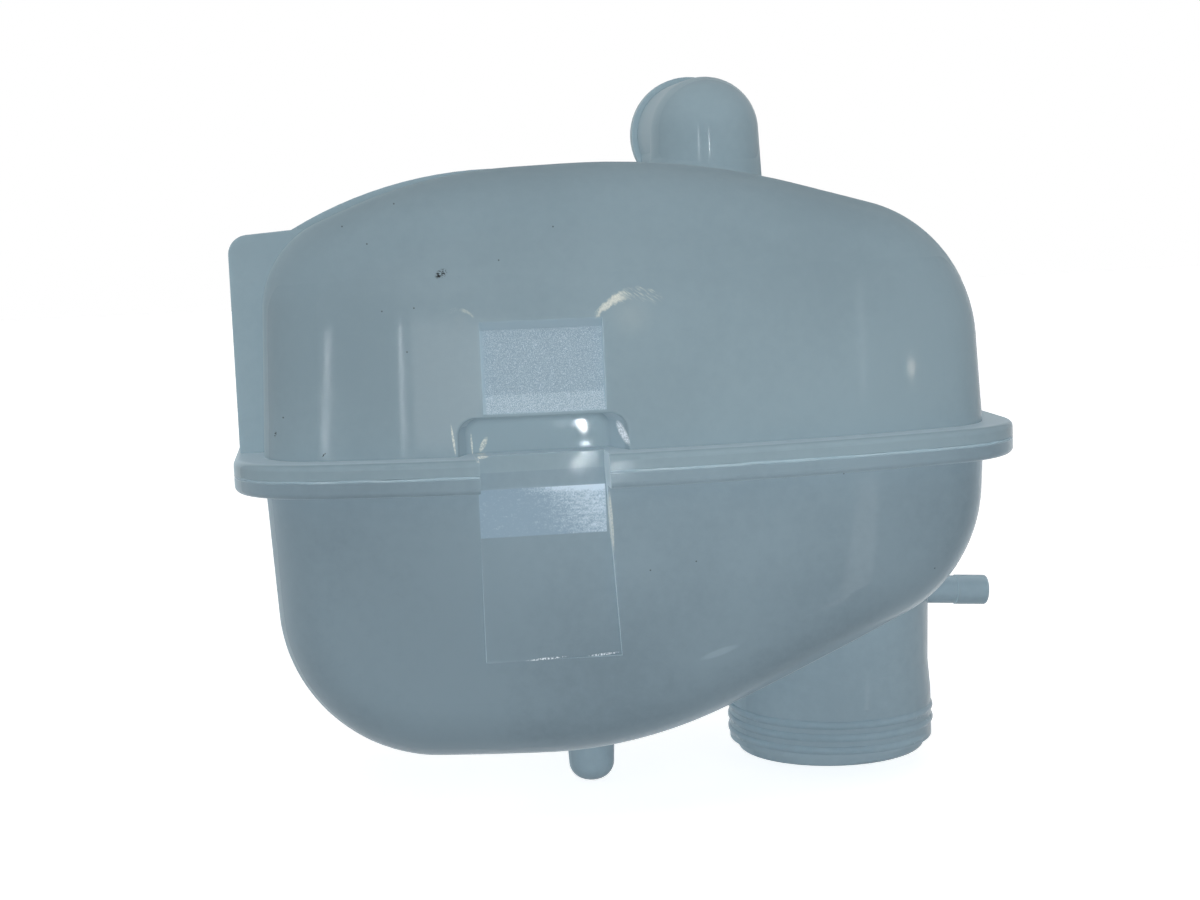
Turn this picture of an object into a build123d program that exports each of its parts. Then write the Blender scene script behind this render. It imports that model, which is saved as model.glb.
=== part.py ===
"""Coolant expansion tank: two moulded half shells welded at a flange, filler neck pointing down."""

import os
from math import cos, radians, sin, tan

from build123d import *

# Driving dimensions in mm. X runs right from the bracket channel's centre line, Y runs back from the
# channel's flat land, and Z runs up from the weld plane.

# Tank body at the weld plane
tank_left = 67.5
tank_right = 118.0
tank_front = 3.5
tank_depth = 114.0
crown_radius = 305.0
side_draft = 2.6
face_draft = 3.0
edge_radius = 18.0
wall = 2.8

# Upper outline: the corners of its tangent polygon and the radii that round them
left_shoulder_height = 56.0
left_shoulder_radius = 24.0
left_crest_x = -24.7
left_crest_height = 73.1
left_crest_radius = 120.0
right_crest_x = 40.2
right_crest_height = 75.0
right_crest_radius = 200.0
right_shoulder_height = 54.2
right_shoulder_radius = 38.0

# Lower outline, in the same way
left_heel_depth = 74.0
left_heel_radius = 40.0
sump_x = 23.5
sump_depth = 75.0
sump_radius = 120.0
right_heel_depth = 37.0
right_heel_radius = 37.0

# Weld flange, one ply on each half
flange_overhang = 7.5
flange_ply = 4.2
flange_rim_radius = 1.6
weld_groove = 0.4

# Bracket channel on the front: flat land below the weld, lead-in facet, latch pocket and grained recess
land_width = 31.0
land_bottom = 47.0
land_flare = 2.5
facet_bottom = 16.0
facet_depth = 0.9
pocket_width = 34.8
pocket_top = 13.3
pocket_depth = 6.0
pocket_draft = 24.0
pocket_corner_radius = 4.0
pocket_floor_radius = 2.0
pocket_lip_radius = 0.6
recess_x = 1.4
recess_width = 29.8
recess_bottom = 14.3
recess_top = 36.6
recess_depth = 2.0
recess_lower_ramp = 4.5
recess_upper_ramp = 2.2

# Mounting fin and shoulder rib on the left
fin_overhang = 6.2
fin_height = 60.3
fin_fall = 4.0
fin_front = 34.0
fin_thickness = 3.0
fin_corner_radius = 5.0
rib_thickness = 4.0
rib_height = 3.9
rib_inset = 16.0
rib_run = 22.4

# Outlet elbow with its hose socket to the back
elbow_x = 52.6
elbow_radius = 14.4
elbow_draft = 2.5
elbow_axis_height = 81.8
elbow_run = 29.0
elbow_web_width = 27.0
elbow_base_radius = 2.0
collar_radius = 15.9
collar_length = 4.0
outlet_bore_radius = 11.0

# Filler neck
neck_x = 82.5
neck_rim_depth = 87.6
neck_bore_radius = 23.5
neck_radius = 27.2
neck_draft = 1.5
thread_root_radius = 27.8
thread_zone = 12.5
thread_cone = 8.0
rim_radius = 25.6
rim_length = 3.0
rim_edge_radius = 1.0
neck_base_radius = 2.5

# Vent nipple
nipple_depth = 47.3
nipple_tilt = 4.0
nipple_radius = 3.85
nipple_bore_radius = 2.4
nipple_reach = 9.8
nipple_bead_height = 0.25
nipple_bead_length = 9.0
nipple_tip_radius = 0.8

# Blind peg under the tank
peg_x = 15.4
peg_radius = 7.8
peg_draft = 3.0
peg_tip_depth = 92.8
peg_tip_radius = 5.0
peg_core_radius = 4.0

# Places that follow from them
tank_x = (tank_right - tank_left) / 2
tank_y = tank_depth / 2 - tank_front
tank_width = tank_left + tank_right
draft_slope = tan(radians(side_draft))
mid_plane = Plane.XZ.offset(-tank_y)
land_plane = Plane.XZ
standing = (Align.CENTER, Align.CENTER, Align.MIN)


def plan_plane(side):
    """Weld plane centred on the tank, facing up for the upper half (1) and down for the lower (-1)."""
    return Plane(origin=(tank_x, tank_y, 0), x_dir=(1, 0, 0), z_dir=(0, 0, side))


def plan_sketch(half_width, grow):
    """Plan outline with crowned front and back, grown outwards from the walls."""
    half_depth = tank_depth / 2 + grow
    radius = crown_radius + grow
    end = half_depth - radius + (radius**2 - half_width**2) ** 0.5
    with BuildSketch() as plan:
        with BuildLine():
            ThreePointArc((-half_width, -end), (0, -half_depth), (half_width, -end))
            Line((half_width, -end), (half_width, end))
            ThreePointArc((half_width, end), (0, half_depth), (-half_width, end))
            Line((-half_width, end), (-half_width, -end))
        make_face()
    return plan.sketch


def lens_volume(inset):
    """Plan outline drawn in by inset and raised with the draft of the front and back."""
    with BuildPart() as lens:
        with BuildSketch():
            add(plan_sketch(tank_width / 2 + edge_radius, -inset))
        extrude(amount=tank_depth, taper=face_draft)
    return lens.part


def half_volume(side, corners, radii, inset):
    """One half of the tank as a solid on its side of the weld plane, drawn in by inset all round."""
    overrun = 2 * inset + 1
    left = (-tank_left - overrun * draft_slope, -side * overrun)
    right = (tank_right + overrun * draft_slope, -side * overrun)
    with BuildPart() as half:
        with BuildSketch(mid_plane):
            with BuildLine():
                FilletPolyline(left, *corners, right, radius=radii)
                Line(right, left)
            make_face()
            if inset:
                offset(amount=-inset)
        extrude(amount=tank_depth, both=True)
        add(plan_plane(side) * lens_volume(inset), mode=Mode.INTERSECT)
        seams = half.edges().filter_by(
            lambda edge: abs(edge.center().Y - tank_y) > tank_depth / 4 and abs(edge.center().Z) > 1
        )
        fillet(seams, edge_radius - inset)
    return half.part


def flange_volume(side):
    """One ply of the weld flange, with a rounded rim and a small groove at the weld."""
    with BuildPart() as ply:
        with BuildSketch(plan_plane(side)) as plan:
            add(plan_sketch(tank_width / 2 + flange_overhang, flange_overhang))
            fillet(plan.vertices(), edge_radius + flange_overhang)
        extrude(amount=flange_ply)
        far = ply.faces().sort_by(Axis.Z)[0 if side < 0 else -1]
        near = ply.faces().sort_by(Axis.Z)[-1 if side < 0 else 0]
        fillet(far.edges(), flange_rim_radius)
        chamfer(near.edges(), weld_groove)
    return ply.part


upper_corners = [
    (-tank_left + left_shoulder_height * draft_slope, left_shoulder_height),
    (left_crest_x, left_crest_height),
    (right_crest_x, right_crest_height),
    (tank_right - right_shoulder_height * draft_slope, right_shoulder_height),
]
upper_radii = [left_shoulder_radius, left_crest_radius, right_crest_radius, right_shoulder_radius]
lower_corners = [
    (-tank_left + left_heel_depth * draft_slope, -left_heel_depth),
    (sump_x, -sump_depth),
    (tank_right - right_heel_depth * draft_slope, -right_heel_depth),
]
lower_radii = [left_heel_radius, sump_radius, right_heel_radius]

upper_outside = half_volume(1, upper_corners, upper_radii, 0)
upper_inside = half_volume(1, upper_corners, upper_radii, wall)
lower_outside = half_volume(-1, lower_corners, lower_radii, 0)
lower_inside = half_volume(-1, lower_corners, lower_radii, wall)


def backing_volume(outside, side, patches):
    """Wall behind the channel: a block for each patch of centre, width, height and depth, kept in the tank."""
    with BuildPart() as backing:
        for centre, width, height, depth in patches:
            with BuildSketch(land_plane.offset(tank_front)):
                with Locations((centre, side * height / 2)):
                    Rectangle(width + 2 * wall, height)
            extrude(amount=-(tank_front + depth + wall))
        add(outside, mode=Mode.INTERSECT)
    return backing.part


pocket_flare = (pocket_depth + tank_front) * tan(radians(pocket_draft))
pocket_mouth_width = pocket_width + 2 * pocket_flare
upper_patches = [
    (0, pocket_mouth_width, pocket_top + wall, pocket_depth),
    (recess_x, recess_width, recess_top + wall, recess_depth),
]
lower_patches = [(0, land_width + 2 * land_flare, land_bottom + wall, facet_depth)]
upper_recess_floor = half_volume(1, upper_corners, upper_radii, recess_depth)
upper_backing = backing_volume(upper_outside, 1, upper_patches)
lower_backing = backing_volume(lower_outside, -1, lower_patches)
upper_flange = flange_volume(1)
lower_flange = flange_volume(-1)
clear_front = tank_front + 2 * flange_overhang

with BuildPart() as recess_cut:
    with BuildSketch(land_plane.offset(tank_front)):
        with Locations((recess_x, (recess_bottom + recess_top) / 2)):
            Rectangle(recess_width, recess_top - recess_bottom)
    extrude(amount=-tank_front - tank_depth / 4)
    add(upper_recess_floor, mode=Mode.SUBTRACT)
    for ramp, place in ((recess_lower_ramp, 0), (recess_upper_ramp, -1)):
        floor = recess_cut.faces().sort_by(Axis.Y)[-1]
        edge = floor.edges().sort_by(Axis.Z)[place]
        chamfer(edge, ramp, recess_depth, reference=floor)

with BuildPart() as pocket_cut:
    with BuildSketch(Plane.XY.offset(flange_ply)):
        with BuildLine():
            Polyline(
                (-pocket_mouth_width / 2, -tank_front),
                (pocket_mouth_width / 2, -tank_front),
                (pocket_width / 2, pocket_depth),
                (-pocket_width / 2, pocket_depth),
                close=True,
            )
        make_face()
    extrude(amount=pocket_top - flange_ply)
    ceiling = pocket_cut.faces().sort_by(Axis.Z)[-1]
    fillet(ceiling.edges().sort_by(Axis.X)[:1] + ceiling.edges().sort_by(Axis.X)[-1:], pocket_corner_radius)
    floor = pocket_cut.faces().sort_by(Axis.Y)[-1]
    fillet(floor.edges().sort_by(Axis.Z)[1:], pocket_floor_radius)

with BuildPart() as upper_shell:
    add(upper_outside)
    add(upper_flange)

    # Mounting fin, standing on the flange
    fin_tip = -tank_left - fin_overhang
    fin_root = left_crest_x
    fin_tip_height = fin_height - (rib_inset * tan(radians(fin_fall)))
    with BuildSketch(Plane.XZ.offset(-fin_front)) as fin:
        with BuildLine():
            Polyline(
                (fin_tip, 0),
                (fin_root, 0),
                (fin_root, fin_height),
                (fin_tip + rib_inset, fin_height),
                (fin_tip, fin_tip_height),
                close=True,
            )
        make_face()
        fillet(fin.vertices().sort_by(Axis.X)[:2].sort_by(Axis.Y)[-1:], fin_corner_radius)
    extrude(amount=-fin_thickness)

    # Shoulder rib behind the fin, running out along the crest
    crest_slope = (right_crest_height - left_crest_height) / (right_crest_x - left_crest_x)
    rib_start = (fin_tip + rib_inset, fin_height)
    rib_end = (left_crest_x + rib_run, left_crest_height + rib_run * crest_slope)
    with BuildSketch(Plane.XZ.offset(-fin_front - fin_thickness)):
        with BuildLine():
            SagittaArc(rib_start, rib_end, rib_height)
            Line(rib_end, (rib_end[0], 0))
            Line((rib_end[0], 0), (rib_start[0], 0))
            Line((rib_start[0], 0), rib_start)
        make_face()
    extrude(amount=-rib_thickness)

    # Outlet elbow: drafted stem, domed top and the run to the back on its web
    elbow_root = elbow_axis_height - right_crest_height + edge_radius
    stem_radius = elbow_radius + elbow_root * tan(radians(elbow_draft))
    with Locations((elbow_x, tank_y, elbow_axis_height - elbow_root)):
        Cone(stem_radius, elbow_radius, elbow_root, align=standing)
    foot = upper_shell.edges(Select.NEW).filter_by(GeomType.BSPLINE)
    fillet(foot, elbow_base_radius)
    with Locations((elbow_x, tank_y, elbow_axis_height)):
        Sphere(elbow_radius)
    with BuildSketch(mid_plane):
        with Locations((elbow_x, elbow_axis_height)):
            Circle(elbow_radius)
            Rectangle(elbow_web_width, elbow_root, align=(Align.CENTER, Align.MAX))
    extrude(amount=-elbow_run)
    with BuildSketch(mid_plane.offset(-(elbow_run - collar_length))):
        with Locations((elbow_x, elbow_axis_height)):
            Circle(collar_radius)
    extrude(amount=-collar_length)

    # Hollow inside, with the wall carried round the channel
    add(upper_inside, mode=Mode.SUBTRACT)
    add(upper_backing)

    # Outlet bore: up the stem and out through the socket
    with Locations((elbow_x, tank_y, elbow_axis_height - elbow_root)):
        Cylinder(outlet_bore_radius, elbow_root, align=standing, mode=Mode.SUBTRACT)
    with Locations((elbow_x, tank_y, elbow_axis_height)):
        Sphere(outlet_bore_radius, mode=Mode.SUBTRACT)
    with BuildSketch(mid_plane):
        with Locations((elbow_x, elbow_axis_height)):
            Circle(outlet_bore_radius)
    extrude(amount=-elbow_run, mode=Mode.SUBTRACT)

    # Flange notch, flush with the land
    with BuildSketch(land_plane):
        Rectangle(land_width, flange_ply, align=(Align.CENTER, Align.MIN))
    extrude(amount=clear_front, mode=Mode.SUBTRACT)

    # Latch pocket above the flange, and the grained recess sunk evenly below the wall
    add(pocket_cut.part, mode=Mode.SUBTRACT)
    fillet(upper_shell.edges(Select.NEW), pocket_lip_radius)
    add(recess_cut.part, mode=Mode.SUBTRACT)

with BuildPart() as lower_shell:
    add(lower_outside)
    add(lower_flange)

    # Filler neck: drafted tube, flare, thread root and plain rim
    rim_top = rim_length - neck_rim_depth
    thread_top = rim_top + thread_zone
    flare_top = thread_top + thread_cone
    neck_root = -right_heel_depth + edge_radius
    root_radius = neck_radius + (neck_root - flare_top) * tan(radians(neck_draft))
    with BuildSketch(mid_plane) as neck:
        with BuildLine():
            Polyline(
                (neck_x, neck_root),
                (neck_x + root_radius, neck_root),
                (neck_x + neck_radius, flare_top),
                (neck_x + thread_root_radius, thread_top),
                (neck_x + thread_root_radius, rim_top),
                (neck_x + rim_radius, rim_top),
                (neck_x + rim_radius, -neck_rim_depth),
                (neck_x, -neck_rim_depth),
                close=True,
            )
        make_face()
        fillet(neck.vertices().sort_by(Axis.Y)[:2].sort_by(Axis.X)[-1:], rim_edge_radius)
    revolve(axis=Axis((neck_x, tank_y, 0), (0, 0, 1)))
    foot = lower_shell.edges(Select.NEW).filter_by(
        lambda edge: edge.geom_type in (GeomType.ELLIPSE, GeomType.BSPLINE)
    )
    fillet(foot, neck_base_radius)

    # Vent nipple out of the neck, with a slight barrel at its end
    nipple_aim = Vector(cos(radians(nipple_tilt)), 0, -sin(radians(nipple_tilt)))
    nipple_tip = Vector(tank_right + nipple_reach, tank_y, -nipple_depth)
    nipple_length = (tank_right + nipple_reach - neck_x) / nipple_aim.X
    bead_radius = nipple_radius + nipple_bead_height
    with BuildSketch(Plane(origin=nipple_tip, x_dir=nipple_aim, z_dir=(0, -1, 0))) as nipple:
        with BuildLine():
            Polyline(
                (0, 0),
                (0, bead_radius),
                (-nipple_bead_length, bead_radius),
                (-nipple_bead_length, nipple_radius),
                (-nipple_length, nipple_radius),
                (-nipple_length, 0),
                close=True,
            )
        make_face()
        fillet(nipple.vertices().sort_by(Axis.X)[-2:].sort_by(Axis.Y)[-1:], nipple_tip_radius)
    revolve(axis=Axis(nipple_tip, nipple_aim))

    # Blind peg
    peg_root = -sump_depth + edge_radius
    peg_height = peg_tip_depth - sump_depth + edge_radius
    peg_end_radius = peg_radius - peg_height * tan(radians(peg_draft))
    with Locations((peg_x, tank_y, -peg_tip_depth)):
        Cone(peg_end_radius, peg_radius, peg_height, align=standing)
    fillet(lower_shell.edges(Select.LAST).filter_by(GeomType.CIRCLE).sort_by(Axis.Z)[:1], peg_tip_radius)

    # Hollow inside, with the wall carried round the channel
    add(lower_inside, mode=Mode.SUBTRACT)
    add(lower_backing)

    # Bores of the neck, the nipple and the peg
    with BuildSketch(Plane.XY.offset(-neck_rim_depth)):
        with Locations((neck_x, tank_y)):
            Circle(neck_bore_radius)
    extrude(amount=neck_rim_depth + neck_root, mode=Mode.SUBTRACT)
    with BuildSketch(Plane(origin=nipple_tip, z_dir=nipple_aim)):
        Circle(nipple_bore_radius)
    extrude(amount=-nipple_length, mode=Mode.SUBTRACT)
    with BuildSketch(Plane.XY.offset(peg_root)):
        with Locations((peg_x, tank_y)):
            Circle(peg_core_radius)
    extrude(amount=-(peg_height - peg_tip_radius), mode=Mode.SUBTRACT)

    # Land: a flat pad that stands out of the wall low down and is sunk into it under the flange
    land_half = land_width / 2
    with BuildSketch(land_plane) as land:
        with BuildLine():
            Polyline(
                (-land_half, 0),
                (land_half, 0),
                (land_half + land_flare, -land_bottom),
                (-land_half, -land_bottom),
                close=True,
            )
        make_face()
    extrude(amount=-wall)
    extrude(land.sketch, amount=clear_front, mode=Mode.SUBTRACT)

    # Lead-in facet between the flange and the land
    with BuildSketch(Plane.YZ.offset(-land_half)):
        with BuildLine():
            Polyline(
                (0, -facet_bottom),
                (facet_depth, -flange_ply),
                (-clear_front, -flange_ply),
                (-clear_front, -facet_bottom),
                close=True,
            )
        make_face()
    extrude(amount=land_width, mode=Mode.SUBTRACT)

os.makedirs("parts", exist_ok=True)
upper_shell.part.label = "upper_shell"
export_step(upper_shell.part, "parts/upper_shell.step")
lower_shell.part.label = "lower_shell"
export_step(lower_shell.part, "parts/lower_shell.step")
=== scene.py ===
"""Looks of a coolant expansion tank: milky moulded shells, neck thread, weld flash and a plain studio."""
from math import asin, atan2, cos, pi, radians, sin, sqrt, tan

import bpy
from mathutils import Matrix, Quaternion, Vector


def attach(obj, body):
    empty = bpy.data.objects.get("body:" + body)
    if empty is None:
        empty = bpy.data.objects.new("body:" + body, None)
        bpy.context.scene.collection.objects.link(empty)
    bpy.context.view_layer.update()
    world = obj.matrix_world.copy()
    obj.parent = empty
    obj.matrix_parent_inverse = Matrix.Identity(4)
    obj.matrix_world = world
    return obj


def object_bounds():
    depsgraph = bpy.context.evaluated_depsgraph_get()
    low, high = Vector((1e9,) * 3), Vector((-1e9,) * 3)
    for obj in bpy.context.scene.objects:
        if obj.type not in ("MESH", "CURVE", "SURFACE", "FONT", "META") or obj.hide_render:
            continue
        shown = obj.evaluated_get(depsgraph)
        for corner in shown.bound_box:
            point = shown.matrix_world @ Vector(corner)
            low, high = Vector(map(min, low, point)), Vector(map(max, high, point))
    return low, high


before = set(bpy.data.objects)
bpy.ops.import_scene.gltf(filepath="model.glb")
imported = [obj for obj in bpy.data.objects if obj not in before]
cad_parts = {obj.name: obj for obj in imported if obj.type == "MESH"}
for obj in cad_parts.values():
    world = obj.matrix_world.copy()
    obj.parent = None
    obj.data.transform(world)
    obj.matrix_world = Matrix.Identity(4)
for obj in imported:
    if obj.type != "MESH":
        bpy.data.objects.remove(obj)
cad_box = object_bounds()

# Sizes of the tank in millimetres and its draft in degrees, as its two shells are moulded
MM = 0.001
plan_centre = (25.25, 53.5)
flange_half_width = 100.25
flange_half_depth = 64.5
flange_crown_radius = 312.5
flange_corner_radius = 25.5
flange_ply = 4.2
notch_half_width = 15.5
recess_centre = (1.4, 25.45)
recess_half = (14.9, 11.15)
recess_upper_ramp = 2.2
recess_lower_ramp = 4.5
pad_shift = 0.3
pad_margin = 0.5
pocket_centre = (0.0, 8.75)
pocket_half = (20.6, 4.55)
facet_centre = (0.0, -10.1)
facet_half = (15.5, 5.9)
front_limit = 22.0
# Depth in front of which ledges take painted light
ledge_limit = 4.5
wall_front = -3.5
wall_crown_radius = 305.0
face_draft = 3.0
# Middle and reach of the paler mid-wall, which is painted light
wall_middle = (35.0, 10.0)
wall_reach = (95.0, 68.0)
neck_place = (82.5, 53.5)
thread_bottom = -83.6
thread_height = 10.2
thread_pitch = 3.4
thread_centre_radius = 26.9
thread_ridge = 1.4
flash_inset = 0.35
flash_bead = 0.42
flash_spacing = 1.2
flash_wander = 0.9

# Thread ends, as shares of the thread's length and of its ridge
thread_run_out = 0.06
thread_end = 0.3

# Where a finish or a painted light fades in or out, in millimetres
back_span = (14.0, 30.0)
shoulder_start = (40.0, 50.0)
shoulder_end = (77.0, 73.0)
pocket_sink = (0.4, 1.4)
pocket_cheeks = (16.0, 18.5)
rim_span = (-40.0, 50.0)
rim_off_neck = (28.5, 30.5)
rim_off_peg = (-77.0, -75.0)

# Colours of the plastic, linear: each moulding from its paler to its deeper clouds
upper_pale = (0.245, 0.327, 0.369, 1.0)
upper_deep = (0.187, 0.253, 0.290, 1.0)
lower_pale = (0.232, 0.311, 0.358, 1.0)
lower_deep = (0.149, 0.203, 0.239, 1.0)
# Painted light: paler tone put on front ledges, the lower rim, the pocket's turned faces and a reflected
# smear
painted_glow = (0.37, 0.47, 0.53, 1.0)
pad_ground = (0.24, 0.325, 0.385, 1.0)
# Paler tone of the recess, also painted light on the pocket's cheeks
recess_tone_and_cheek_light = (0.29, 0.385, 0.445, 1.0)
pad_sparkle = (0.52, 0.62, 0.69, 1.0)
stroke_ground = (0.225, 0.31, 0.378, 1.0)
stroke_sparkle = (0.50, 0.60, 0.68, 1.0)
# Painted highlights: warm glare and glints, and cold glints
painted_warm_glint = (0.62, 0.64, 0.58, 1.0)
painted_cold_glint = (0.80, 0.86, 0.92, 1.0)
soot = (0.012, 0.014, 0.016, 1.0)

# Shares of the paler tone that the milky wall takes, the middle, back, edge and pocket shares being
# painted light, and of the painted rim light on the lower shell
cloud_share = 0.3
middle_share = 0.48
back_share = 0.5
flange_share = 0.1
edge_share = 0.55
pocket_share = 0.6
rim_light_shares = (0.28, 0.66)

# Roughness of the plastic, and what single places add to it
wall_roughness = (0.045, 0.075)
trim_roughness = (0.16, 0.28)
edge_dulling = 0.4
shoulder_dulling = 0.25
pad_dulling = 0.3
facet_dulling = 0.2
pocket_dulling = -0.04

# Relief of the plastic in millimetres
wall_wave = 0.006
wall_peel = 0.0016
trim_ripple = 0.02
pad_grain = 0.12
pocket_dimple = 0.022
facet_stroke = 0.05

# Soot marks on the upper shell: place x, z, length, width, turn in degrees
soot_marks = [
    (-21.9, 48.6, 1.9, 1.2, 30.0),
    (-63.9, 10.7, 0.9, 0.3, 80.0),
    (-52.3, 5.8, 0.8, 0.25, 45.0),
]

# Single dark specks on each shell: place x, z
upper_specks = [
    (-32.1, 65.8),
    (-44.9, 60.8),
    (-39.2, 56.4),
    (-28.8, 40.6),
    (-36.5, 40.1),
    (-31.0, 30.1),
    (-61.7, 14.9),
    (5.4, 58.8),
    (-8.0, 51.3),
]
lower_specks = [
    (25.6, -26.0),
    (37.1, -24.5),
    (75.5, -5.2),
    (100.5, -32.0),
]
speck_radius = 0.26

# Painted glare, crescents beside the top corners of the recess: centre x, z, radius, side and strength
painted_glare_arcs = [
    (24.9, 31.7, 11.3, 1.0, 0.85),
    (-18.6, 35.9, 4.3, -1.0, 0.3),
]

# Painted glints along the lips and corners of the latch pocket: place x, z, length, width, turn in
# degrees
painted_pocket_glints = [
    (-21.0, 8.4, 4.4, 0.34, 96.0),
    (-16.25, 6.6, 3.2, 0.3, 92.0),
    (-14.4, 3.9, 2.0, 0.45, 3.0),
    (-13.4, 6.4, 2.4, 0.8, 62.0),
]

# Painted glints, on the pocket's right lip and along the bottom edge of the bracket land: place x, z,
# length, width, turn in degrees
upper_painted_glints = [
    (20.3, 8.2, 3.6, 0.9, 110.0),
]
lower_painted_glints = [
    (13.6, -46.6, 4.6, 0.35, 3.0),
    (-0.8, -46.8, 6.0, 0.35, 3.0),
]

# Painted reflection, a pale smear above the sloping bottom: place x, z, length, width, turn in degrees
painted_reflection_smears = [
    (42.4, -48.0, 6.0, 1.1, 16.0),
]

# Painted glint along the edge of the bracket channel beside the facet: place x, z, length, width, turn in
# degrees
painted_edge_glints = [
    (16.4, -13.0, 9.0, 0.5, 92.5),
]

# Studio in metres and degrees, with its levels and colours
lamp_target = (0.02, 0.0, 0.02)
soft_light_distance = 2.0
soft_light_spread = 50.0
room_level = 0.15
floor_half = 3.0
floor_glow = 0.58
floor_lit = (0.55, 0.55, 0.56, 1.0)
floor_seen = (0.86, 0.86, 0.86, 1.0)
white = (1.0, 1.0, 1.0, 1.0)
plain_light = (1.0, 1.0, 1.0)
cold_light = (0.90, 0.96, 1.0)
warm_light = (1.0, 0.92, 0.74)

# Soft lights: name, azimuth and elevation in degrees, level on a white wall, whether it casts a shadow
soft_lights = [
    ("soft_front", 2.0, 12.0, 0.88, False),
    ("soft_left", -100.0, 10.0, 0.30, False),
    ("soft_right", 110.0, 10.0, 0.03, False),
    ("soft_back_left", -150.0, -6.0, 0.45, False),
    ("soft_back_right", 150.0, -6.0, 0.45, False),
    ("soft_below", 180.0, -80.0, 0.13, False),
    ("soft_top", 0.0, 80.0, 0.10, False),
    ("shadow_top", 0.0, 78.0, 0.10, True),
]

# Mirrored cards: name, azimuth, elevation and tilt in degrees, distance, width, height, radiance, colour
cards = [
    ("left_window", -30.6, 1.0, -13.0, 1.5, 0.0045, 0.11, 170.0, cold_light),
    ("left_slit", -22.2, 1.0, 0.0, 1.5, 0.0035, 0.11, 220.0, cold_light),
    ("left_panel", -14.4, 1.2, 0.0, 1.5, 0.34, 0.12, 14.0, plain_light),
    ("right_slit", 37.5, 2.5, 0.0, 1.5, 0.02, 0.14, 12.0, cold_light),
    ("right_lamp", 44.0, 0.4, 0.0, 1.5, 0.006, 0.009, 260.0, warm_light),
    ("low_window", 5.9, -6.95, 0.0, 0.75, 0.010, 0.0045, 460.0, cold_light),
    ("low_tubes", 6.0, -7.95, 0.0, 0.75, 0.010, 0.003, 760.0, cold_light),
    ("low_haze", 5.3, -6.7, 0.0, 0.75, 0.02, 0.008, 20.0, cold_light),
    ("flange_tubes", 5.2, -9.35, 0.0, 0.5, 0.004, 0.0025, 520.0, cold_light),
    ("dome_slit_left", -21.7, 9.8, 0.0, 1.5, 0.02, 0.10, 300.0, cold_light),
    ("dome_slit_right", 1.0, 9.8, 0.0, 1.5, 0.02, 0.10, 300.0, cold_light),
]


# Node helpers


def add(tree, kind, inputs=None, **settings):
    """A node of that kind, each input linked where its value is a socket and set where it is a number."""
    node = tree.nodes.new(kind)
    for name, value in settings.items():
        setattr(node, name, value)
    for socket, value in (inputs or {}).items():
        if isinstance(value, bpy.types.NodeSocket):
            tree.links.new(value, node.inputs[socket])
        else:
            node.inputs[socket].default_value = value
    return node


def maths(tree, operation, *terms):
    """The result of one arithmetic step."""
    return add(tree, "ShaderNodeMath", dict(enumerate(terms)), operation=operation).outputs[0]


def vectors(tree, operation, *terms):
    """The vector that one step on vectors gives."""
    return add(tree, "ShaderNodeVectorMath", dict(enumerate(terms)), operation=operation).outputs[0]


def axes_of(tree, vector):
    """The X, Y and Z of a vector."""
    return add(tree, "ShaderNodeSeparateXYZ", {0: vector}).outputs


def reach_of(tree, across, along):
    """Length of the line that two square steps make."""
    squared = maths(tree, "MULTIPLY_ADD", across, across, maths(tree, "MULTIPLY", along, along))
    return maths(tree, "SQRT", squared)


def fade(tree, value, start, end, low=0.0, high=1.0):
    """A value eased from low at start to high at end."""
    ends = {"Value": value, "From Min": start, "From Max": end, "To Min": low, "To Max": high}
    return add(tree, "ShaderNodeMapRange", ends, interpolation_type="SMOOTHSTEP").outputs["Result"]


def blend_colours(tree, share, first, second):
    """First colour with a share of the second."""
    node = add(tree, "ShaderNodeMix", {0: share, 6: first, 7: second}, data_type="RGBA")
    return node.outputs[2]


def noise(tree, point, scale, detail=2.0, roughness=0.5):
    """Noise from 0 to 1, with features about 1 / scale millimetres across."""
    inputs = {"Vector": point, "Scale": scale, "Detail": detail, "Roughness": roughness}
    return add(tree, "ShaderNodeTexNoise", inputs).outputs["Fac"]


def new_group(name, inputs, outputs):
    """An empty shader group with its sockets, and its input and output nodes."""
    group = bpy.data.node_groups.new(name, "ShaderNodeTree")
    for label, kind in inputs.items():
        group.interface.new_socket(label, in_out="INPUT", socket_type="NodeSocket" + kind)
    for label, kind in outputs.items():
        group.interface.new_socket(label, in_out="OUTPUT", socket_type="NodeSocket" + kind)
    return group, group.nodes.new("NodeGroupInput").outputs, group.nodes.new("NodeGroupOutput").inputs


def use(tree, group, **inputs):
    """A shader group placed in a tree, with its inputs by name, spaces written as underscores."""
    node = tree.nodes.new("ShaderNodeGroup")
    node.node_tree = group
    for name, value in inputs.items():
        socket = node.inputs[name.replace("_", " ")]
        if isinstance(value, bpy.types.NodeSocket):
            tree.links.new(value, socket)
        else:
            socket.default_value = value
    return node.outputs


# Effects that several finishes share


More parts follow.
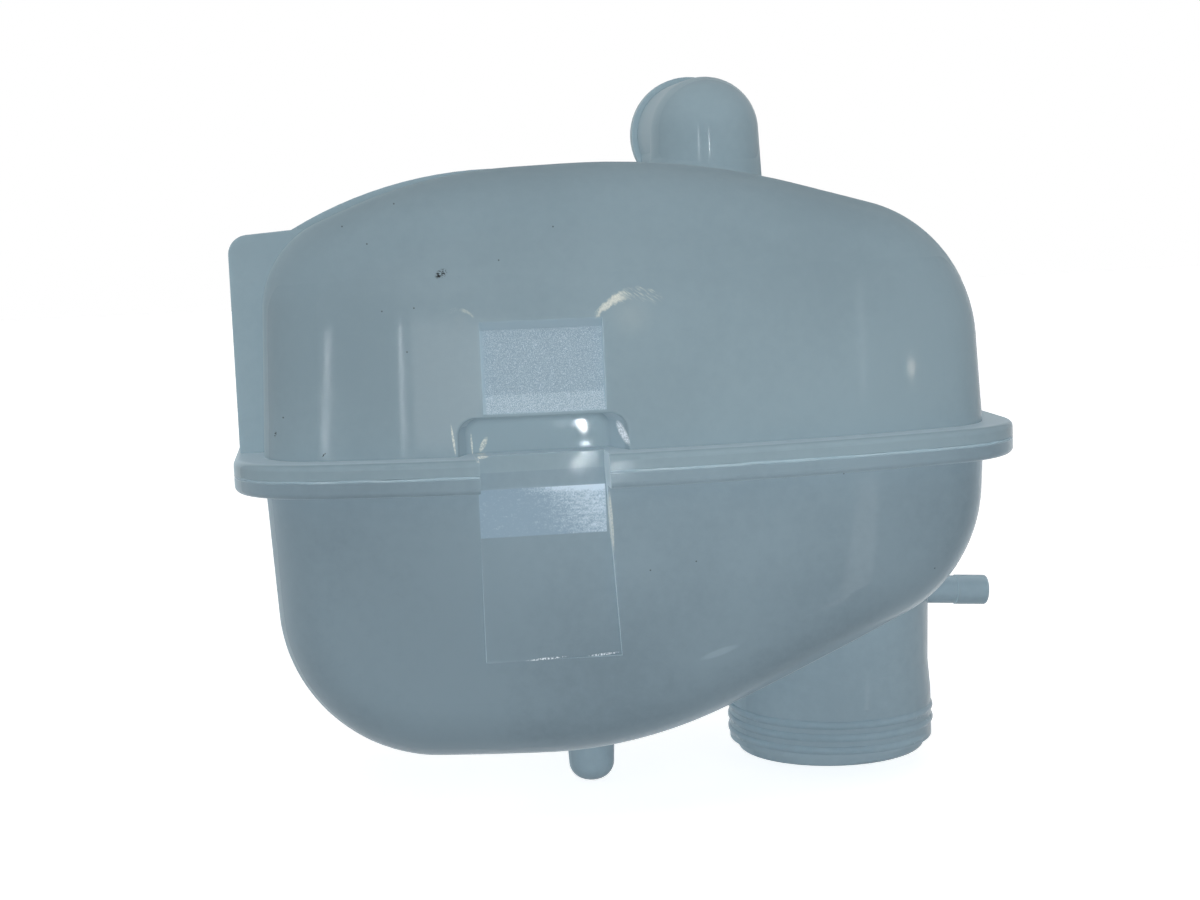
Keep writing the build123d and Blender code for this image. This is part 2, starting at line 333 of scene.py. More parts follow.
def milky_tone_with_painted_light_group():
    """Cloudy colour of unpigmented plastic, with painted light and shade: paler mid-wall, on edges, on
    front ledges and on what stands back, deeper towards the ends.
    """
    group, given, result = new_group(
        "milky tone with painted light",
        {"Point": "Vector", "Facing": "Float", "Pale": "Color", "Deep": "Color"},
        {"Colour": "Color"},
    )
    axes = axes_of(group, given["Point"])
    drift = noise(group, given["Point"], scale=0.018, detail=3.0, roughness=0.45)
    mottle = noise(group, given["Point"], scale=0.35, detail=3.0, roughness=0.6)
    cloud = maths(group, "MULTIPLY_ADD", mottle, 0.25, maths(group, "MULTIPLY", drift, 0.75))
    clouded = fade(group, cloud, 0.36, 0.64, 0.0, cloud_share)
    # Painted shade and light: deeper towards the ends and crest of the wall, paler in its middle, on what
    # stands back and on edges turned from the front
    across = maths(group, "DIVIDE", maths(group, "SUBTRACT", axes["X"], wall_middle[0]), wall_reach[0])
    upwards = maths(group, "DIVIDE", maths(group, "SUBTRACT", axes["Z"], wall_middle[1]), wall_reach[1])
    central = fade(group, reach_of(group, across, upwards), 1.0, 0.3, 0.0, middle_share)
    standing_back = fade(group, axes["Y"], *back_span, 0.0, back_share)
    flange = fade(group, maths(group, "ABSOLUTE", axes["Z"]), flange_ply + 0.4, flange_ply)
    edge_on = fade(group, given["Facing"], 0.45, 0.05)
    share = maths(group, "ADD", clouded, maths(group, "ADD", central, standing_back))
    share = maths(group, "MULTIPLY_ADD", flange, flange_share, share)
    share = maths(group, "MULTIPLY_ADD", edge_on, edge_share, share)
    wall = blend_colours(group, share, given["Deep"], given["Pale"])

    # Painted light: front ledges and the flange, where they face up, down or sideways, are painted paler
    # against the shade that falls on them
    in_front = maths(group, "LESS_THAN", axes["Y"], ledge_limit)
    ledge_light = maths(group, "MULTIPLY", maths(group, "MAXIMUM", flange, in_front), edge_on)
    group.links.new(blend_colours(group, ledge_light, wall, painted_glow), result["Colour"])
    return group


def mould_ripple_group():
    """Height in millimetres of the slow waves and fine peel that a moulded wall has."""
    group, given, result = new_group(
        "mould ripple", {"Point": "Vector", "Wave": "Float", "Peel": "Float"}, {"Height": "Float"}
    )
    wave = maths(group, "MULTIPLY", noise(group, given["Point"], scale=0.03, detail=1.0), given["Wave"])
    peel = maths(group, "MULTIPLY", noise(group, given["Point"], scale=0.9, detail=2.0), given["Peel"])
    group.links.new(maths(group, "ADD", wave, peel), result["Height"])
    return group


def front_window_group():
    """Mask of a rectangle on the front wall, in millimetres."""
    sizes = {"Centre X": "Float", "Centre Z": "Float", "Half Width": "Float", "Half Height": "Float"}
    group, given, result = new_group(
        "front window", {"Point": "Vector", **sizes, "Soft": "Float"}, {"Mask": "Float"}
    )
    axes = axes_of(group, given["Point"])
    mask = maths(group, "LESS_THAN", axes["Y"], front_limit)
    for axis, centre, half in (("X", "Centre X", "Half Width"), ("Z", "Centre Z", "Half Height")):
        away = maths(group, "ABSOLUTE", maths(group, "SUBTRACT", axes[axis], given[centre]))
        outside = maths(group, "SUBTRACT", away, given[half])
        inside = fade(group, outside, given["Soft"], maths(group, "MULTIPLY", given["Soft"], -1.0))
        mask = maths(group, "MULTIPLY", mask, inside)
    group.links.new(mask, result["Mask"])
    return group


def small_mark_group():
    """Mask of one small long mark on the front wall, crumbled by the share Broken."""
    sizes = {"Place": "Vector", "Length": "Float", "Width": "Float", "Turn": "Float", "Broken": "Float"}
    group, given, result = new_group("small mark", {"Point": "Vector", **sizes}, {"Mask": "Float"})
    away = vectors(group, "SUBTRACT", given["Point"], given["Place"])
    swing = {"Vector": away, "Angle": given["Turn"]}
    turned = add(group, "ShaderNodeVectorRotate", swing, rotation_type="Y_AXIS").outputs[0]
    axes = axes_of(group, turned)
    along = maths(group, "DIVIDE", axes["X"], given["Length"])
    across = maths(group, "DIVIDE", axes["Z"], given["Width"])
    body = fade(group, reach_of(group, along, across), 1.0, 0.5)
    gaps = fade(group, noise(group, given["Point"], scale=2.2, detail=2.0), 0.56, 0.44)
    kept = maths(group, "SUBTRACT", 1.0, maths(group, "MULTIPLY", gaps, given["Broken"]))
    front = maths(group, "LESS_THAN", axes["Y"], front_limit)
    group.links.new(maths(group, "MULTIPLY", maths(group, "MULTIPLY", body, kept), front), result["Mask"])
    return group


def painted_glare_arc_group():
    """Mask of a crescent of painted glare, solid beside a recess corner and frayed past its top."""
    sizes = {"Centre": "Vector", "Radius": "Float", "Side": "Float", "Strength": "Float"}
    group, given, result = new_group("painted glare arc", {"Point": "Vector", **sizes}, {"Mask": "Float"})
    axes = axes_of(group, vectors(group, "SUBTRACT", given["Point"], given["Centre"]))
    out = maths(group, "DIVIDE", maths(group, "MULTIPLY", axes["X"], given["Side"]), given["Radius"])
    up = maths(group, "DIVIDE", axes["Z"], given["Radius"])
    unrest = noise(group, given["Point"], scale=0.5, detail=3.0, roughness=0.7)
    wobble = fade(group, unrest, 0.2, 0.8, -0.05, 0.05)
    reach = maths(group, "ADD", reach_of(group, out, up), wobble)

    # Turn round the bend in radians, from 0 at the outer side up over the top
    turn = maths(group, "ARCTAN2", up, out)
    outer_edge = fade(group, reach, 1.06, 0.98)

    # Solid core, thickening from its tip at the corner
    core_inside = fade(group, turn, 2.65, 2.1, 0.92, 0.8)
    core_edge = fade(group, reach, core_inside, maths(group, "ADD", core_inside, 0.09))
    core_ends = maths(group, "MULTIPLY", fade(group, turn, 2.75, 2.6), fade(group, turn, 1.7, 2.1))
    core = maths(group, "MULTIPLY", maths(group, "MULTIPLY", outer_edge, core_edge), core_ends)
    crumbs = noise(group, given["Point"], scale=1.6, detail=2.0, roughness=0.7)
    core = maths(group, "MULTIPLY", core, fade(group, crumbs, 0.3, 0.6, 0.55, 1.0))

    # Hairs that lean across the frayed end
    along = maths(group, "MULTIPLY_ADD", up, -0.6, maths(group, "MULTIPLY", out, 0.8))
    across = maths(group, "MULTIPLY_ADD", up, 0.8, maths(group, "MULTIPLY", out, 0.6))
    combed = add(group, "ShaderNodeCombineXYZ", {"X": along, "Y": maths(group, "MULTIPLY", across, 7.0)})
    hairs = fade(group, noise(group, combed.outputs[0], scale=4.0, detail=3.0, roughness=0.6), 0.45, 0.7)
    frayed_ends = maths(group, "MULTIPLY", fade(group, turn, 0.85, 1.2), fade(group, turn, 2.3, 1.9))
    frayed = maths(group, "MULTIPLY", maths(group, "MULTIPLY", hairs, frayed_ends), outer_edge)
    frayed = maths(group, "MULTIPLY", frayed, fade(group, reach, 0.72, 0.92, 0.0, 0.5))

    # Glow inside the bend
    glow_out = maths(group, "ADD", out, 0.15)
    glow_up = maths(group, "SUBTRACT", up, 0.45)
    glow = fade(group, reach_of(group, glow_out, glow_up), 0.65, 0.0, 0.0, 0.09)

    body = maths(group, "ADD", core, maths(group, "ADD", frayed, glow))
    front = maths(group, "LESS_THAN", axes["Y"], front_limit)
    masked = maths(group, "MULTIPLY", maths(group, "MULTIPLY", body, given["Strength"]), front)
    group.links.new(masked, result["Mask"])
    return group


milky_tone_with_painted_light = milky_tone_with_painted_light_group()
mould_ripple = mould_ripple_group()
front_window = front_window_group()
small_mark = small_mark_group()
painted_glare_arc = painted_glare_arc_group()


# Finishes


def plastic(name):
    """A new glossy milky plastic: its material, tree, shader inputs and point in millimetres."""
    material = bpy.data.materials.new(name)
    material.use_nodes = True
    tree = material.node_tree
    shader = tree.nodes["Principled BSDF"]
    shader.inputs["IOR"].default_value = 1.12
    shader.inputs["Subsurface Weight"].default_value = 0.4
    shader.inputs["Subsurface Radius"].default_value = (0.9, 1.0, 1.0)
    shader.inputs["Subsurface Scale"].default_value = 3.0 * MM
    place = add(tree, "ShaderNodeTexCoord").outputs["Object"]
    point = add(tree, "ShaderNodeVectorMath", {0: place, "Scale": 1.0 / MM}, operation="SCALE").outputs[0]
    return material, tree, shader.inputs, point


def facing_front(tree):
    """How far the surface faces the front or the back: 1 square on, 0 on the sides, top and bottom."""
    normal = add(tree, "ShaderNodeTexCoord").outputs["Normal"]
    return maths(tree, "ABSOLUTE", axes_of(tree, normal)["Y"])


def relief(tree, height, shader):
    """Height in millimetres as the bump of a shader."""
    bump = add(tree, "ShaderNodeBump", {"Height": height, "Distance": MM, "Strength": 1.0})
    tree.links.new(bump.outputs["Normal"], shader["Normal"])


def window(tree, point, centre, half, soft):
    """Mask of a rectangle of the front wall."""
    return use(
        tree,
        front_window,
        Point=point,
        Centre_X=centre[0],
        Centre_Z=centre[1],
        Half_Width=half[0],
        Half_Height=half[1],
        Soft=soft,
    )["Mask"]


def add_marks(tree, point, colour, marks, paint, share, broken):
    """The colour with small marks laid over it, each a share of one paint and crumbled."""
    for x, z, length, width, turn in marks:
        place = (x, 0.0, z)
        sizes = {"Length": length, "Width": width, "Turn": radians(turn), "Broken": broken}
        mark = use(tree, small_mark, Point=point, Place=place, **sizes)["Mask"]
        colour = blend_colours(tree, maths(tree, "MULTIPLY", mark, share), colour, paint)
    return colour


def add_specks(tree, point, colour, specks):
    """The colour with single round specks of soot."""
    marks = [(x, z, speck_radius, speck_radius, 0.0) for x, z in specks]
    return add_marks(tree, point, colour, marks, soot, share=0.65, broken=0.0)


def shell_ground(tree, point, pale, deep):
    """Colour with its painted light and shade, roughness and relief of a plain shell wall."""
    facing = facing_front(tree)
    colour = use(tree, milky_tone_with_painted_light, Point=point, Facing=facing, Pale=pale, Deep=deep)["Colour"]
    polish = fade(tree, noise(tree, point, scale=0.06, detail=2.0), 0.3, 0.7, *wall_roughness)
    roughness = maths(tree, "ADD", polish, fade(tree, facing, 0.6, 0.2, 0.0, edge_dulling))
    height = use(tree, mould_ripple, Point=point, Wave=wall_wave, Peel=wall_peel)["Height"]
    return colour, roughness, height


def upper_shell_plastic():
    """Milky wall with a grained recess, a polished latch pocket painted paler, painted glare beside the
    recess corners, painted glints and soot.
    """
    material, tree, shader, point = plastic("upper_shell_plastic")
    colour, roughness, height = shell_ground(tree, point, upper_pale, upper_deep)

    # Duller shoulder between the front wall and the elbow
    axes = axes_of(tree, point)
    above_start = fade(tree, axes["Z"], *shoulder_start)
    shoulder = maths(tree, "MULTIPLY", above_start, fade(tree, axes["Z"], *shoulder_end))
    roughness = maths(tree, "MULTIPLY_ADD", shoulder, shoulder_dulling, roughness)

    # Grained pad, below the smooth ramp at its top; its sparkle is grain and partly painted glints, a
    # little brighter on the lower ramp as a painted highlight
    pad_centre = (recess_centre[0] + pad_shift, recess_centre[1] - recess_upper_ramp / 2)
    pad_half = (recess_half[0] - pad_margin, recess_half[1] - recess_upper_ramp / 2)
    pad = window(tree, point, pad_centre, pad_half, soft=0.45)
    grain = noise(tree, point, scale=4.6, detail=2.0, roughness=0.8)
    ramp_centre = (recess_centre[0], recess_centre[1] - recess_half[1] + recess_lower_ramp / 2)
    ramp_half = (recess_half[0], recess_lower_ramp / 2)
    ramp = window(tree, point, ramp_centre, ramp_half, soft=0.4)
    sparkle = fade(tree, maths(tree, "MULTIPLY_ADD", ramp, 0.06, grain), 0.42, 0.78)
    pad_colour = blend_colours(tree, sparkle, pad_ground, pad_sparkle)
    recess = window(tree, point, recess_centre, recess_half, soft=0.1)
    colour = blend_colours(tree, recess, colour, recess_tone_and_cheek_light)
    colour = blend_colours(tree, pad, colour, pad_colour)
    roughness = maths(tree, "MULTIPLY_ADD", pad, pad_dulling, roughness)
    height = maths(tree, "MULTIPLY_ADD", maths(tree, "MULTIPLY", pad, grain), pad_grain, height)

    # Polished pocket, painted paler against the shade inside it, with more painted light on its cheeks
    # and turned faces
    from_crest = maths(tree, "SUBTRACT", axes["X"], plan_centre[0])
    crest_squared = maths(tree, "MULTIPLY", from_crest, from_crest)
    crown = maths(tree, "DIVIDE", crest_squared, 2.0 * wall_crown_radius)
    crowned = maths(tree, "ADD", crown, wall_front)
    wall = maths(tree, "MULTIPLY_ADD", axes["Z"], tan(radians(face_draft)), crowned)
    behind = fade(tree, maths(tree, "SUBTRACT", axes["Y"], wall), *pocket_sink)
    pocket = maths(tree, "MULTIPLY", window(tree, point, pocket_centre, pocket_half, soft=0.3), behind)
    sideways = maths(tree, "ABSOLUTE", axes["X"])
    pocket_painted_light = blend_colours(tree, fade(tree, sideways, *pocket_cheeks), upper_pale, recess_tone_and_cheek_light)
    turned = fade(tree, facing_front(tree), 0.5, 0.1)
    pocket_painted_light = blend_colours(tree, turned, pocket_painted_light, painted_glow)
    colour = blend_colours(tree, maths(tree, "MULTIPLY", pocket, pocket_share), colour, pocket_painted_light)
    dimples = noise(tree, point, scale=0.17, detail=1.0)
    height = maths(tree, "MULTIPLY_ADD", maths(tree, "MULTIPLY", pocket, dimples), pocket_dimple, height)
    roughness = maths(tree, "MULTIPLY_ADD", pocket, pocket_dulling, roughness)

    for x, z, radius, side, strength in painted_glare_arcs:
        sizes = {"Centre": (x, 0.0, z), "Radius": radius, "Side": side, "Strength": strength}
        arc = use(tree, painted_glare_arc, Point=point, **sizes)["Mask"]
        colour = blend_colours(tree, arc, colour, painted_warm_glint)
    colour = add_marks(tree, point, colour, painted_pocket_glints, painted_warm_glint, share=0.75, broken=0.6)
    colour = add_marks(tree, point, colour, upper_painted_glints, painted_cold_glint, share=0.9, broken=0.6)
    colour = add_marks(tree, point, colour, soot_marks, soot, share=1.0, broken=1.0)
    colour = add_specks(tree, point, colour, upper_specks)

    tree.links.new(colour, shader["Base Color"])
    tree.links.new(roughness, shader["Roughness"])
    relief(tree, height, shader)
    return material


def lower_shell_plastic():
    """Milky wall with painted rim light, a brushed facet with a painted highlight, painted glints, a
    painted reflection and specks.
    """
    material, tree, shader, point = plastic("lower_shell_plastic")
    colour, roughness, height = shell_ground(tree, point, lower_pale, lower_deep)

    # Painted light: a paler rim where the wall turns away from the front, but not on the neck and the peg
    axes = axes_of(tree, point)
    strongest = fade(tree, axes["X"], *rim_span, *rim_light_shares)
    turned = fade(tree, facing_front(tree), 0.85, 0.3, 0.0, strongest)
    in_plan = vectors(tree, "MULTIPLY", point, (1.0, 1.0, 0.0))
    ends = {0: in_plan, 1: (*neck_place, 0.0)}
    from_neck = add(tree, "ShaderNodeVectorMath", ends, operation="DISTANCE").outputs["Value"]
    off_neck = fade(tree, from_neck, *rim_off_neck)
    off_peg = fade(tree, axes["Z"], *rim_off_peg)
    rim = maths(tree, "MULTIPLY", turned, maths(tree, "MULTIPLY", off_neck, off_peg))
    colour = blend_colours(tree, rim, colour, painted_glow)

    # Brushed facet, its sparkle partly painted glints, with a painted highlight brightest at its upper
    # right and along its top edge
    facet = window(tree, point, facet_centre, facet_half, soft=0.12)
    drawn = vectors(tree, "MULTIPLY", point, (0.35, 1.0, 1.0))
    strokes = noise(tree, drawn, scale=1.7, detail=4.0, roughness=0.7)
    crumbs = noise(tree, point, scale=2.4, detail=2.0, roughness=0.7)
    lean = maths(tree, "MULTIPLY_ADD", axes["Z"], 0.7, axes["X"])
    facet_highlight = fade(tree, lean, -14.0, 10.0, 0.0, 0.26)
    bright = maths(tree, "MULTIPLY_ADD", crumbs, 0.55, maths(tree, "MULTIPLY", strokes, 0.45))
    top_edge_glint = maths(tree, "MULTIPLY", fade(tree, axes["Z"], -6.4, -4.6, 0.0, 0.9), facet_highlight)
    bright = maths(tree, "ADD", bright, top_edge_glint)
    sparkle = fade(tree, maths(tree, "ADD", bright, facet_highlight), 0.52, 0.95)
    stroke_colour = blend_colours(tree, sparkle, stroke_ground, stroke_sparkle)
    colour = blend_colours(tree, facet, colour, stroke_colour)
    roughness = maths(tree, "MULTIPLY_ADD", facet, facet_dulling, roughness)
    height = maths(tree, "MULTIPLY_ADD", maths(tree, "MULTIPLY", facet, strokes), facet_stroke, height)
    colour = add_marks(tree, point, colour, painted_reflection_smears, painted_glow, share=0.18, broken=0.0)
    colour = add_marks(tree, point, colour, painted_edge_glints, painted_warm_glint, share=0.5, broken=0.4)
    colour = add_marks(tree, point, colour, lower_painted_glints, painted_cold_glint, share=0.7, broken=1.0)
    colour = add_specks(tree, point, colour, lower_specks)

    tree.links.new(colour, shader["Base Color"])
    tree.links.new(roughness, shader["Roughness"])
    relief(tree, height, shader)
    return material


def trim_plastic():
    """The same plastic with its painted light on the thread and the weld flash, a little duller."""
    material, tree, shader, point = plastic("trim_plastic")
    shader["Subsurface Weight"].default_value = 0.9
    shader["Subsurface Scale"].default_value = 5.0 * MM
    colour = use(tree, milky_tone_with_painted_light, Point=point, Facing=1.0, Pale=lower_pale, Deep=lower_deep)["Colour"]
    roughness = fade(tree, noise(tree, point, scale=0.5, detail=2.0), 0.3, 0.7, *trim_roughness)
    tree.links.new(colour, shader["Base Color"])
    tree.links.new(roughness, shader["Roughness"])
    ripple = use(tree, mould_ripple, Point=point, Wave=trim_ripple, Peel=trim_ripple)["Height"]
    relief(tree, ripple, shader)
    return material


# Pieces made by geometry nodes


def new_tree(name, inputs):
    """An empty geometry tree with its sizes as named inputs."""
    tree = bpy.data.node_groups.new(name, "GeometryNodeTree")
    tree.interface.new_socket("Geometry", in_out="INPUT", socket_type="NodeSocketGeometry")
    for label, kind in inputs.items():
        tree.interface.new_socket(label, in_out="INPUT", socket_type="NodeSocket" + kind)
    tree.interface.new_socket("Geometry", in_out="OUTPUT", socket_type="NodeSocketGeometry")
    return tree, tree.nodes.new("NodeGroupInput").outputs, tree.nodes.new("NodeGroupOutput").inputs


def sweep(tree, path, radius, scale, sides):
    """A closed round bar along a path, its radius scaled from place to place."""
    circle = {"Resolution": sides, "Radius": radius}
    profile = add(tree, "GeometryNodeCurvePrimitiveCircle", circle).outputs[0]
    bar = {"Curve": path, "Profile Curve": profile, "Scale": scale, "Fill Caps": True}
    return add(tree, "GeometryNodeCurveToMesh", bar).outputs[0]


def close_tree(tree, geometry, material, result):
    """Ends a tree in real, smooth, painted geometry."""
    smooth = add(tree, "GeometryNodeSetShadeSmooth", {"Geometry": geometry}).outputs[0]
    real = add(tree, "GeometryNodeRealizeInstances", {"Geometry": smooth}).outputs[0]
    painted = add(tree, "GeometryNodeSetMaterial", {"Geometry": real, "Material": material}).outputs[0]
    tree.links.new(painted, result["Geometry"])


def grow(name, tree, sizes, points=(), edges=()):
    """The plain mesh piece that a geometry tree gives on a line of points, in metres."""
    mesh = bpy.data.meshes.new(name + "_line")
    mesh.from_pydata([Vector(p) for p in points], edges, [])
    source = bpy.data.objects.new(name + "_line", mesh)
    bpy.context.scene.collection.objects.link(source)
    modifier = source.modifiers.new("grow", "NODES")
    modifier.node_group = tree
    sockets = {item.name: item.identifier for item in tree.interface.items_tree if item.in_out == "INPUT"}
    for label, value in sizes.items():
        modifier[sockets[label]] = value
    graph = bpy.context.evaluated_depsgraph_get()
    grown = bpy.data.meshes.new_from_object(source.evaluated_get(graph), depsgraph=graph)
    bpy.data.objects.remove(source)
    grown.name = name
    piece = bpy.data.objects.new(name, grown)
    bpy.context.scene.collection.objects.link(piece)
    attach(piece, "root")
    return piece


def thread_tree(material):
    """A rounded helical ridge that runs out at both ends."""
    tree, given, result = new_tree(
        "neck thread",
        {"Radius": "Float", "Ridge": "Float", "Pitch": "Float", "Height": "Float", "Place": "Vector"},
    )
    winding = {
        "Resolution": 96,
        "Rotations": maths(tree, "DIVIDE", given["Height"], given["Pitch"]),
        "Start Radius": given["Radius"],
        "End Radius": given["Radius"],
        "Height": given["Height"],
    }
    helix = add(tree, "GeometryNodeCurveSpiral", winding).outputs[0]
    along = add(tree, "GeometryNodeSplineParameter").outputs["Factor"]
    from_end = maths(tree, "MINIMUM", along, maths(tree, "SUBTRACT", 1.0, along))
    run_out = fade(tree, from_end, 0.0, thread_run_out, thread_end, 1.0)
    ridge = sweep(tree, helix, given["Ridge"], run_out, sides=16)
    move = {"Geometry": ridge, "Translation": given["Place"]}
    placed = add(tree, "GeometryNodeTransform", move).outputs[0]
    close_tree(tree, placed, material, result)
    return tree


def flash_tree(material):
    """A thin uneven bead of squeezed-out plastic along a line."""
    tree, given, result = new_tree(
        "weld flash", {"Bead": "Float", "Spacing": "Float", "Wander": "Float", "Seed": "Float"}
    )
    line = add(tree, "GeometryNodeMeshToCurve", {"Mesh": given["Geometry"]}).outputs[0]
    steps = {"Curve": line, "Length": given["Spacing"]}
    evened = add(tree, "GeometryNodeResampleCurve", steps, mode="LENGTH").outputs[0]
    place = add(tree, "GeometryNodeInputPosition").outputs[0]
    unevenness = {"Vector": place, "W": given["Seed"], "Scale": 90.0, "Detail": 3.0}
    drift = add(tree, "ShaderNodeTexNoise", unevenness, noise_dimensions="4D").outputs
    centred = vectors(tree, "SUBTRACT", drift["Color"], (0.5, 0.5, 0.5))
    strayed = {0: centred, "Scale": given["Wander"]}
    offset = add(tree, "ShaderNodeVectorMath", strayed, operation="SCALE").outputs[0]
    wandering = add(tree, "GeometryNodeSetPosition", {"Geometry": evened, "Offset": offset}).outputs[0]
    swelling = {"Value": drift["Fac"], "From Min": 0.3, "From Max": 0.7, "To Min": 0.55, "To Max": 1.3}
    swell = add(tree, "ShaderNodeMapRange", swelling).outputs["Result"]
    bead = sweep(tree, wandering, given["Bead"], swell, sides=8)
    close_tree(tree, bead, material, result)
    return tree


def flange_outline(inset):
    """Points in metres along the flange rim, set in, from the right of the notch round to its left."""
    crown = flange_crown_radius - inset
    corner = flange_corner_radius - inset
    half_width = flange_half_width - inset
    half_depth = flange_half_depth - inset
    corner_x = half_width - corner
    crown_y = crown - half_depth
    corner_y = crown_y - sqrt((crown - corner) ** 2 - corner_x**2)
    crown_end = asin(corner_x / (crown - corner))
    crown_steps = 24
    corner_steps = 16

    def arc(centre, radius, start, end, steps):
        turns = [start + (end - start) * i / steps for i in range(steps + 1)]
        return [(centre[0] + radius * sin(a), centre[1] - radius * cos(a)) for a in turns]

    def half(notch_x):
        front = arc((0.0, crown_y), crown, asin(notch_x / crown), crown_end, crown_steps)
        front_corner = arc((corner_x, corner_y), corner, crown_end, pi / 2, corner_steps)
        back_corner = [(x, -y) for x, y in reversed(front_corner)]
        mirrored = arc((0.0, crown_y), crown, 0.0, crown_end, crown_steps)
        back = [(x, -y) for x, y in reversed(mirrored)]
        return front + front_corner[1:] + back_corner + back[1:]

    right = half(notch_half_width - plan_centre[0])
    left = [(-x, y) for x, y in reversed(half(notch_half_width + plan_centre[0]))]
    outline = right + left[1:]
    return [((plan_centre[0] + x) * MM, (plan_centre[1] + y) * MM, 0.0) for x, y in outline]


def dress_shells():
    """The two shells keep their moulded shape and take their finishes."""
    finishes = {"upper_shell": upper_shell_plastic(), "lower_shell": lower_shell_plastic()}
    for node, material in finishes.items():
        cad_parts[node].data.materials[0] = material


def add_neck_thread(material):
    """The screw thread of the filler neck."""
    sizes = {
        "Radius": thread_centre_radius * MM,
        "Ridge": thread_ridge * MM,
        "Pitch": thread_pitch * MM,
        "Height": thread_height * MM,
        "Place": (neck_place[0] * MM, neck_place[1] * MM, thread_bottom * MM),
    }
    return grow("neck_thread", thread_tree(material), sizes)


def add_weld_flash(material):
    """The squeezed-out bead in the groove between the two flange plies."""
    sizes = {
        "Bead": flash_bead * MM,
        "Spacing": flash_spacing * MM,
        "Wander": flash_wander * MM,
        "Seed": 4.0,
    }
    points = flange_outline(flash_inset)
    edges = [(i, i + 1) for i in range(len(points) - 1)]
    return grow("weld_flash", flash_tree(material), sizes, points, edges)


# Studio


def aim(azimuth, elevation, distance, target):
    """A point at that distance from a target, azimuth 0 being straight in front and right positive."""
    turn = radians(azimuth)
    rise = radians(elevation)
    flat = distance * cos(rise)
    return Vector(target) + Vector((flat * sin(turn), -flat * cos(turn), distance * sin(rise)))


def add_lamp(name, lamp, azimuth, elevation, distance, colour, tilt=0.0):
    """A lamp placed round the tank, facing the middle of its front wall and unseen by the camera."""
    lamp.color = colour
    placed = bpy.data.objects.new(name, lamp)
    placed.location = aim(azimuth, elevation, distance, lamp_target)
    facing = Vector(lamp_target) - placed.location
    leaning = Quaternion((0.0, 0.0, 1.0), radians(tilt))
    placed.rotation_euler = (facing.to_track_quat("-Z", "Y") @ leaning).to_euler()
    placed.visible_camera = False
    bpy.context.scene.collection.objects.link(placed)
    return placed


def add_soft_light(name, azimuth, elevation, level, shadow):
    """A broad far light that renders a white wall at that level, and has no reflection of its own."""
    lamp = bpy.data.lights.new(name, "SUN")
    lamp.energy = level * pi
    lamp.angle = radians(soft_light_spread)
    lamp.use_shadow = shadow
    placed = add_lamp(name, lamp, azimuth, elevation, soft_light_distance, plain_light)
    placed.visible_glossy = False


def bright_area(name, width, height, radiance):
    """A rectangular lamp of that radiance."""
    lamp = bpy.data.lights.new(name, "AREA")
    lamp.shape = "RECTANGLE"
    lamp.size = width
    lamp.size_y = height
    lamp.energy = radiance * pi * width * height
    return lamp


def add_card(name, azimuth, elevation, tilt, distance, width, height, radiance, colour):
    """A bright card that only shows as a reflection in the glossy wall."""
    lamp = bright_area(name, width, height, radiance)
    card = add_lamp(name, lamp, azimuth, elevation, distance, colour, tilt)
    card.visible_diffuse = False


def add_floor_strip(name, start, end, width, radiance):
    """A bright strip lying on the floor, face up, that only shows as a reflection."""
    along = Vector(end) - Vector(start)
    strip = bpy.data.objects.new(name, bright_area(name, width, along.length, radiance))
    middle = (Vector(start) + Vector(end)) / 2
    strip.location = (middle.x, middle.y, cad_box[0][2] + 2.0 * MM)
    strip.rotation_euler = (pi, 0.0, atan2(along.x, -along.y))
    strip.visible_camera = False
    strip.visible_diffuse = False
    bpy.context.scene.collection.objects.link(strip)


def add_lights():
    """Soft light from every side, and the windows and lamps that the glossy wall mirrors."""
    for light in soft_lights:
        add_soft_light(*light)
    for card in cards:
        add_card(*card)
    add_floor_strip("low_strip", start=(0.30, -0.29), end=(0.14, -0.10), width=0.02, radiance=7.0)


def seen_by_camera(tree):
    """1 for what the camera sees, straight, mirrored or let through, and 0 for what only lights."""
    ray = add(tree, "ShaderNodeLightPath").outputs
    mirrored = maths(tree, "MAXIMUM", ray["Is Camera Ray"], ray["Is Glossy Ray"])
    return maths(tree, "MAXIMUM", mirrored, ray["Is Transmission Ray"])


def add_world():
    """White for what is seen and reflected, and an even level for what lights the tank."""
    world = bpy.data.worlds.new("studio")
    bpy.context.scene.world = world
    world.use_nodes = True
    tree = world.node_tree
    ground = tree.nodes["Background"]
    strength = fade(tree, seen_by_camera(tree), 0.0, 1.0, room_level, 1.0)
    tree.links.new(strength, ground.inputs["Strength"])
    ground.inputs["Color"].default_value = white


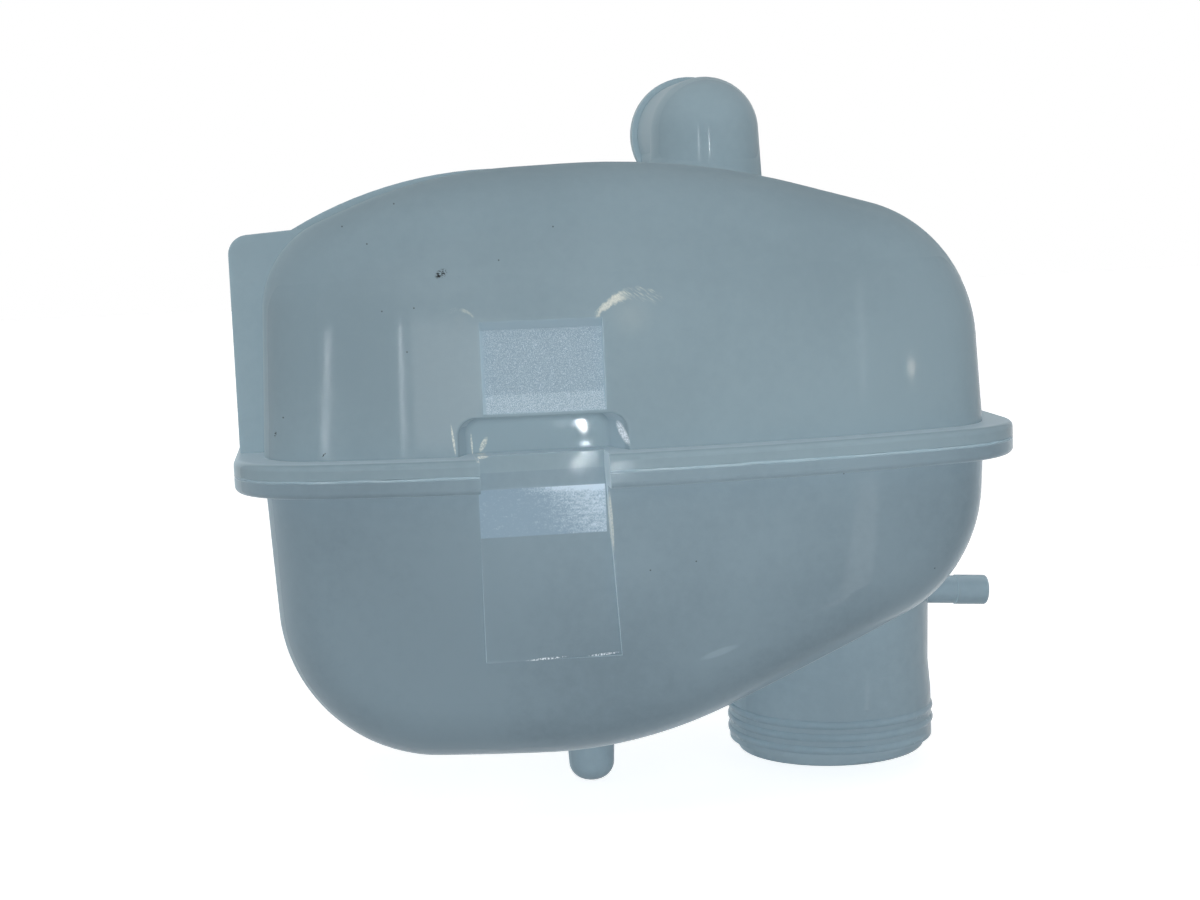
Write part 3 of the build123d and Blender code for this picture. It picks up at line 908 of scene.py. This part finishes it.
def add_floor():
    """A pale floor under the tank that looks white and keeps its shadow."""
    lowest = cad_box[0][2]
    signs = [(-1, -1), (1, -1), (1, 1), (-1, 1)]
    mesh = bpy.data.meshes.new("floor")
    mesh.from_pydata([(x * floor_half, y * floor_half, lowest) for x, y in signs], [], [(0, 1, 2, 3)])
    floor = bpy.data.objects.new("floor", mesh)
    bpy.context.scene.collection.objects.link(floor)
    material = bpy.data.materials.new("pale_floor")
    material.use_nodes = True
    tree = material.node_tree
    tree.nodes.remove(tree.nodes["Principled BSDF"])
    result = tree.nodes["Material Output"].inputs["Surface"]
    lit = add(tree, "ShaderNodeBsdfDiffuse", {"Color": floor_lit}).outputs[0]
    glow = add(tree, "ShaderNodeEmission", {"Color": white, "Strength": floor_glow}).outputs[0]
    shaded = add(tree, "ShaderNodeBsdfDiffuse", {"Color": floor_seen}).outputs[0]
    glowing = add(tree, "ShaderNodeAddShader", {0: glow, 1: shaded}).outputs[0]
    shown = {0: seen_by_camera(tree), 1: lit, 2: glowing}
    tree.links.new(add(tree, "ShaderNodeMixShader", shown).outputs[0], result)
    floor.data.materials.append(material)


def add_camera():
    """The camera of the photograph: a little left of the tank, looking slightly down."""
    place = Vector((-0.04717, -0.50292, 0.06456))
    yaw, fall, roll = radians(7.0), radians(6.8), radians(2.3)
    forward = Vector((sin(yaw) * cos(fall), cos(yaw) * cos(fall), -sin(fall)))
    level = Vector((cos(yaw), -sin(yaw), 0.0))
    upright = level.cross(forward)
    right = cos(roll) * level - sin(roll) * upright
    up = sin(roll) * level + cos(roll) * upright
    lens = bpy.data.cameras.new("camera")
    lens.lens = 62.7
    lens.sensor_width = 36.0
    lens.sensor_fit = "HORIZONTAL"
    camera = bpy.data.objects.new("camera", lens)
    camera.matrix_world = Matrix.Translation(place) @ Matrix((right, up, -forward)).transposed().to_4x4()
    bpy.context.scene.collection.objects.link(camera)
    bpy.context.scene.camera = camera


# The scene, piece by piece
bpy.context.scene.view_settings.view_transform = "Standard"
dress_shells()
trim = trim_plastic()
add_neck_thread(trim)
add_weld_flash(trim)
add_world()
add_lights()
add_floor()
add_camera()
